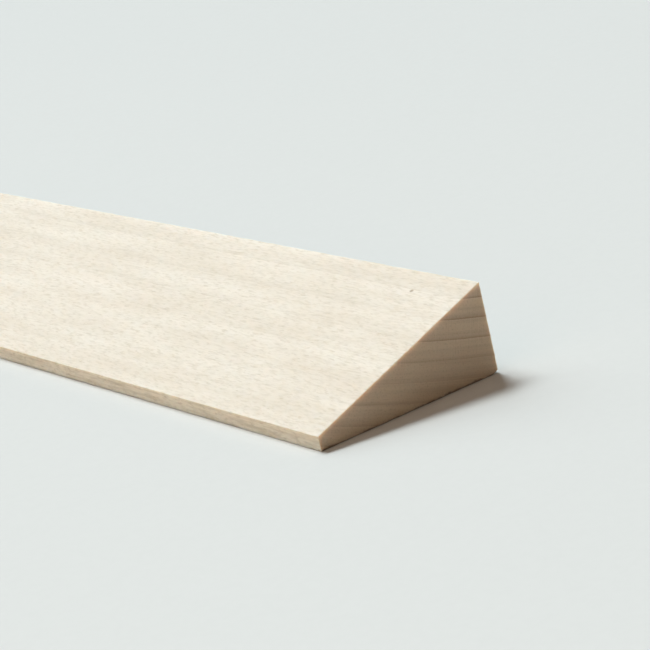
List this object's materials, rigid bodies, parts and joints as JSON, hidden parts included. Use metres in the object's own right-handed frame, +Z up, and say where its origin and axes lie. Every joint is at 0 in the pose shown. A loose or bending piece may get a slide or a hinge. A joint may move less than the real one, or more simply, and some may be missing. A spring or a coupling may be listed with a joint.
{
  "type": "tapered wood strip",
  "caption": "Straight strip of pale balsa with a wedge-shaped section: flat base, sloping top face, a thick edge, a thin edge and square-sawn ends.",
  "frame": {"origin": "centre of the flat base that the strip lies on", "axes": "+X across the width, from the thin edge to the thick edge; +Y along the length and the grain; +Z up, out of the base"},
  "size_m": [0.025, 0.3, 0.011],
  "materials": {
    "balsa": "bare, sanded faces and sawn ends, matt"
  },
  "bodies": {
    "root": {"tapered_strip": "balsa"}
  },
  "joints": []
}
